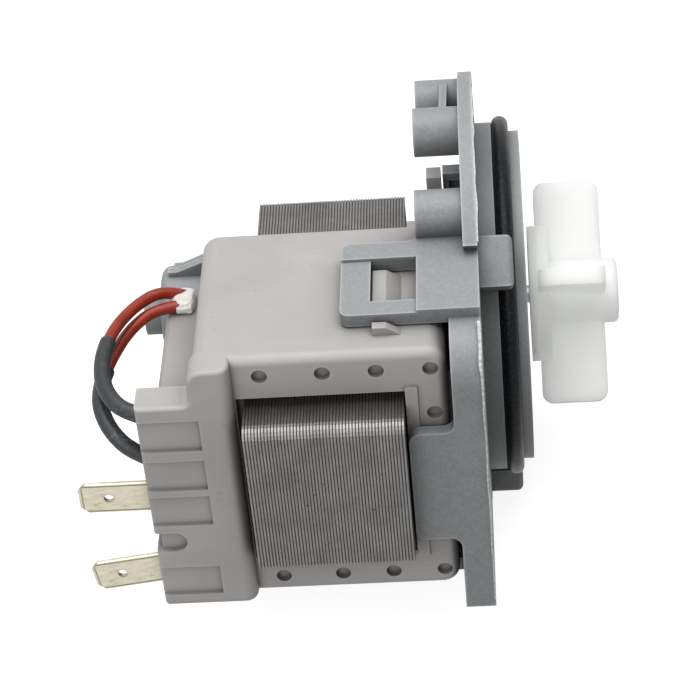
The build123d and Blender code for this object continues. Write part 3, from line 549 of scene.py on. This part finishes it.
cured_silicone, tree, shader, place = new_finish(
    "cured_silicone", Roughness=0.35, IOR=1.41, Subsurface_Weight=0.2, Subsurface_Scale=0.001)
lumps = add_node(tree, "ShaderNodeTexNoise", {"Vector": place, "Scale": 1 / lump_width, "Detail": 4.0})
white = add_node(tree, "ShaderNodeValToRGB", {"Fac": lumps}, stops=[(0.3, "#C6C4BE"), (0.6, "#D9D7D2")])
smeared = add_node(tree, "ShaderNodeBump", {"Height": lumps, "Strength": 0.2, "Distance": 0.15 * millimetre})
set_inputs(shader, {"Base Color": white, "Normal": smeared})
finish_with(cured_silicone, sealant_dab)


# Thermal cut-out and bushes: small mouldings of phenolic, nearly black with a
# faint speckle. The cut-out is sealed in the lead box, and the bushes are pressed
# into the cap and the boss.
speckle_width = 0.6 * millimetre
dark_phenolic, tree, shader, place = new_finish("dark_phenolic", Roughness=0.5)
speckle = add_node(tree, "ShaderNodeTexNoise", {"Vector": place, "Scale": 1 / speckle_width, "Detail": 3.0})
dark = add_node(tree, "ShaderNodeValToRGB", {"Fac": speckle}, stops=[(0.35, "#1B1A19"), (0.7, "#2B2927")])
set_inputs(shader, {"Base Color": dark})
finish_with(dark_phenolic, nodes["thermal_cutout"], nodes["front_bush"], nodes["rear_bush"])


# Seal ring: a 3 mm nitrile rubber ring stretched into the spigot's groove. The
# rubber is black and slightly greasy, and picks up pale dust. The cap's ring and
# the rear bush's cushion are the same rubber.
groove_middle, ring_radius, ring_section = 4.52 * millimetre, 30.52 * millimetre, 1.5 * millimetre
ring_sides, ring_steps = 32, 256
ring = bmesh.new()
turned = Matrix.Translation((groove_middle, ring_radius, 0))
bmesh.ops.create_circle(ring, segments=ring_sides, radius=ring_section, matrix=turned)
section = ring.edges[:] + ring.verts[:]
bmesh.ops.spin(
    ring, geom=section, cent=(0, 0, 0), axis=(1, 0, 0), angle=2 * math.pi, steps=ring_steps, use_merge=True)
bmesh.ops.remove_doubles(ring, verts=ring.verts[:], dist=touching)
bmesh.ops.recalc_face_normals(ring, faces=ring.faces[:])
rubber_ring = object_from(ring, "rubber_ring")
rubber_ring.data.shade_smooth()
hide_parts("seal_ring")
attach(rubber_ring, "housing")
dust_width, grease_width = 0.5 * millimetre, 3 * millimetre
nitrile_rubber, tree, shader, place = new_finish("nitrile_rubber", IOR=1.52, Specular_IOR_Level=0.12)
dust = add_node(tree, "ShaderNodeTexNoise", {
    "Vector": place, "Scale": 1 / dust_width, "Detail": 5.0, "Roughness": 0.75})
black = add_node(tree, "ShaderNodeValToRGB", {"Fac": dust}, stops=[
    (0.50, "#0E0F12"), (0.66, "#2A2D32"), (0.75, "#6A6D70")])
grease = add_node(tree, "ShaderNodeTexNoise", {"Vector": place, "Scale": 1 / grease_width, "Detail": 3.0})
slick = add_node(tree, "ShaderNodeMapRange", {"Value": grease, "To Min": 0.25, "To Max": 0.45})
set_inputs(shader, {"Base Color": black, "Roughness": slick})
finish_with(nitrile_rubber, rubber_ring, nodes["cap_seal"], nodes["bush_cushion"])


# Bearing cap: the same filled polypropylene as the flange, pushed into the
# mouth of the rotor chamber.
finish_with(filled_polypropylene, nodes["bearing_cap"])


# Rotor: a ferrite magnet on a nylon carrier and a ground steel shaft, with
# plastic thrust washers. It is slid into the chamber and shut in by the cap.

# Ground ferrite is charcoal grey and half matt
crystal_width = 0.4 * millimetre
ground_ferrite, tree, shader, place = new_finish("ground_ferrite", Roughness=0.45)
crystal = add_node(tree, "ShaderNodeTexNoise", {"Vector": place, "Scale": 1 / crystal_width, "Detail": 3.0})
black = add_node(tree, "ShaderNodeValToRGB", {"Fac": crystal}, stops=[(0.35, "#2A2A2C"), (0.7, "#3A3A3D")])
set_inputs(shader, {"Base Color": black})
finish_with(ground_ferrite, nodes["rotor_magnet"])

# Grinding leaves fine bright scratches round the shaft
scratch_width, scratch_length = millimetre / 3, 5 * millimetre
ground_steel, tree, shader, place = new_finish("ground_steel", Metallic=1.0)
lapped = add_node(tree, "ShaderNodeMapping", {
    "Vector": place, "Scale": (1 / scratch_width, 1 / scratch_length, 1 / scratch_length)})
scratches = add_node(tree, "ShaderNodeTexNoise", {"Vector": lapped, "Scale": 1.0, "Detail": 3.0})
bright = add_node(tree, "ShaderNodeValToRGB", {"Fac": scratches}, stops=[(0.3, "#B5B5B3"), (0.7, "#CDCDCB")])
polish = add_node(tree, "ShaderNodeMapRange", {"Value": scratches, "To Min": 0.15, "To Max": 0.3})
set_inputs(shader, {"Base Color": bright, "Roughness": polish})
finish_with(ground_steel, nodes["rotor_shaft"])

# Acetal is a smooth, slightly glossy cream
cream_width = 2 * millimetre
acetal_washer, tree, shader, place = new_finish("acetal_washer", Roughness=0.35, IOR=1.48)
clouded = add_node(tree, "ShaderNodeTexNoise", {"Vector": place, "Scale": 1 / cream_width, "Detail": 3.0})
cream = add_node(tree, "ShaderNodeValToRGB", {"Fac": clouded}, stops=[(0.3, "#D2C9A4"), (0.7, "#DDD5B4")])
set_inputs(shader, {"Base Color": cream})
finish_with(acetal_washer, nodes["front_thrust_washer"], nodes["rear_thrust_washer"])


# Impeller: natural white polypropylene in two mouldings, the bladed one and the
# plate that closes its collar. Light soaks into it, and a faint painted glow lightens it, so its shade is
# soft.
blush_width, ripple_depth, soaked_share = 9 * millimetre, 0.1 * millimetre, 0.25
# A faint white emission is a painted glow that lightens the impeller's shade
natural_polypropylene, tree, shader, place = new_finish(
    "natural_polypropylene", Roughness=0.42, IOR=1.49, Subsurface_Weight=1.0, Subsurface_Scale=0.006,
    Subsurface_Radius=(1.0, 1.0, 1.0), Emission_Color="#F6F7F6", Emission_Strength=0.11)
blush = add_node(tree, "ShaderNodeTexNoise", {"Vector": place, "Scale": 1 / blush_width, "Detail": 3.0})
white = add_node(tree, "ShaderNodeValToRGB", {"Fac": blush}, stops=[(0.3, "#F1F2F0"), (0.7, "#F6F7F5")])
ripple = add_node(tree, "ShaderNodeBump", {"Height": blush, "Strength": 0.2, "Distance": ripple_depth})
set_inputs(shader, {"Base Color": white, "Normal": ripple})
soak = add_node(tree, "ShaderNodeBsdfTranslucent", {"Color": "#F4F5F3", "Normal": ripple})
blend = add_node(tree, "ShaderNodeMixShader", {0: soaked_share, 1: shader, 2: soak})
set_inputs(tree.nodes["Material Output"], {"Surface": blend})
finish_with(natural_polypropylene, nodes["impeller"], nodes["drive_cover"])


# Floor and light: a white table, an even white studio and two soft boxes, one
# overhead and a weak one in front on the left. The table and studio look white
# to the eye and in reflections, and throw less light on the pump.
table_size, table_gap = 4.0, 0.3 * millimetre
table_glow, studio_light, studio_seen = 0.86, 0.37, 1.0
pure_white = "#FFFFFF"


def seen_share(tree):
    """The light paths of a tree, and a node that is 1 where its surface is looked at."""
    paths = add_node(tree, "ShaderNodeLightPath", {})
    direct = add_node(tree, "ShaderNodeMath", {
        0: paths.outputs["Is Camera Ray"], 1: paths.outputs["Is Glossy Ray"]}, operation="MAXIMUM")
    seen = add_node(tree, "ShaderNodeMath", {
        0: direct, 1: paths.outputs["Is Transmission Ray"]}, operation="MAXIMUM")
    return paths, seen


lowest = min(cad_low.z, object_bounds()[0].z)
table = bmesh.new()
level = Matrix.Translation((0, 0, lowest - table_gap))
bmesh.ops.create_grid(table, x_segments=1, y_segments=1, size=table_size, matrix=level)
white_table = object_from(table, "white_table")
table_white, tree, shader, place = new_finish("table_white", Roughness=0.9, Emission_Color=pure_white)
paths, seen = seen_share(tree)
tone = add_node(tree, "ShaderNodeValToRGB", {"Fac": paths.outputs["Is Camera Ray"]}, stops=[
    (0.0, "#6E6E6E"), (1.0, "#989898")])
glow = add_node(tree, "ShaderNodeMath", {0: seen, 1: table_glow}, operation="MULTIPLY")
set_inputs(shader, {"Base Color": tone, "Emission Strength": glow})
finish_with(table_white, white_table)

world = bpy.data.worlds.new("white_studio")
bpy.context.scene.world = world
world.use_nodes = True
tree = world.node_tree
paths, seen = seen_share(tree)
brightness = add_node(tree, "ShaderNodeMapRange", {
    "Value": seen, "To Min": studio_light, "To Max": studio_seen})
set_inputs(tree.nodes["Background"], {"Color": pure_white, "Strength": brightness})

# Each box has its place and width in metres and its power in watts
soft_boxes = {
    "top_soft_box": ((-0.04, -0.04, 0.80), 0.8, 6.6),
    "front_soft_box": ((-0.30, -0.78, 0.48), 0.6, 3.4),
}
lit_place = Vector((-0.02, -0.02, 0))
for name, (spot, width, power) in soft_boxes.items():
    lamp = bpy.data.lights.new(name, "AREA")
    lamp.size = width
    lamp.energy = power
    soft_box = bpy.data.objects.new(name, lamp)
    bpy.context.scene.collection.objects.link(soft_box)
    soft_box.location = spot
    soft_box.rotation_euler = (lit_place - Vector(spot)).to_track_quat("-Z", "Y").to_euler()


# Camera: a long lens high in front, looking along the flange's edge. Its place,
# turn and length were fitted to the photograph.
lens = bpy.data.cameras.new("camera")
lens.sensor_width = 36.0
lens.lens = 134.64
lens.clip_start, lens.clip_end = 0.01, 50.0
camera = bpy.data.objects.new("camera", lens)
bpy.context.scene.collection.objects.link(camera)
right, up, back = (0.9965, 0.0219, -0.0805), (0.0500, 0.6149, 0.7870), (0.0667, -0.7883, 0.6116)
camera_place = (0.00460, -0.36483, 0.27478)
turn = Matrix((right, up, back)).transposed().to_4x4()
camera.matrix_world = Matrix.Translation(camera_place) @ turn
bpy.context.scene.camera = camera
bpy.context.scene.view_settings.view_transform = "Standard"
